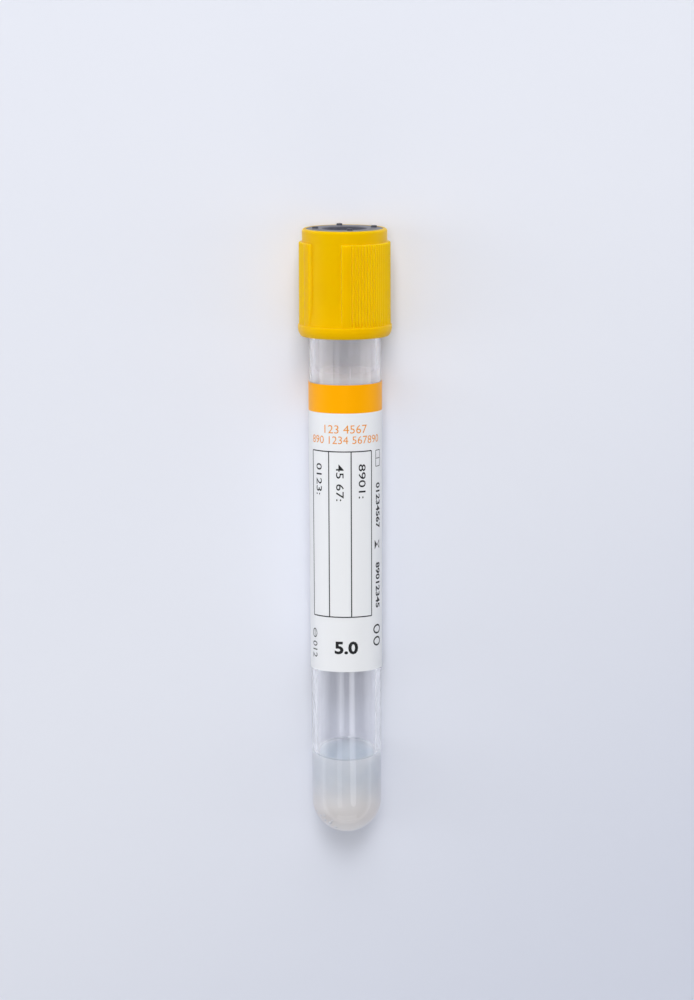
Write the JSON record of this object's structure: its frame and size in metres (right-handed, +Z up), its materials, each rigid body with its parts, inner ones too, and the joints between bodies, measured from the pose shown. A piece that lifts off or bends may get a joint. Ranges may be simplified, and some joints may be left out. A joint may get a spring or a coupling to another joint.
{
  "type": "blood collection tube",
  "caption": "Round-bottomed clear tube lying on its side, with a wrapped label, separator gel in its bottom, and a ribbed safety cap that pulls off together with its rubber stopper.",
  "frame": {"origin": "on the floor, under the centre of the lying tube's bounding box", "axes": "+Y along the tube towards the cap, whose hem ring lifts the axis by 1.5 degrees; +Z up, away from the floor; the label's table faces +Z; +X to the right with the cap at the top"},
  "size_m": [0.0168, 0.1106, 0.017],
  "materials": {
    "clear_plastic": "clear, glossy moulded plastic",
    "gel": "cloudy pale grey gel with a wet surface",
    "label_film": "satin printed film, white with an orange band along its upper edge",
    "stopper_rubber": "matte dark blue-grey rubber",
    "cap_plastic": "satin yellow moulded plastic"
  },
  "bodies": {
    "vessel": {"tube": "clear_plastic", "label": "label_film", "separator_gel": "gel"},
    "closure": {"safety_cap": "cap_plastic", "rubber_stopper": "stopper_rubber"}
  },
  "joints": [
    {"name": "closure_pull", "type": "slide", "parent": "vessel", "child": "closure", "axis": [0, 0.9997, 0.0253], "range_m": [0, 0.025]}
  ]
}
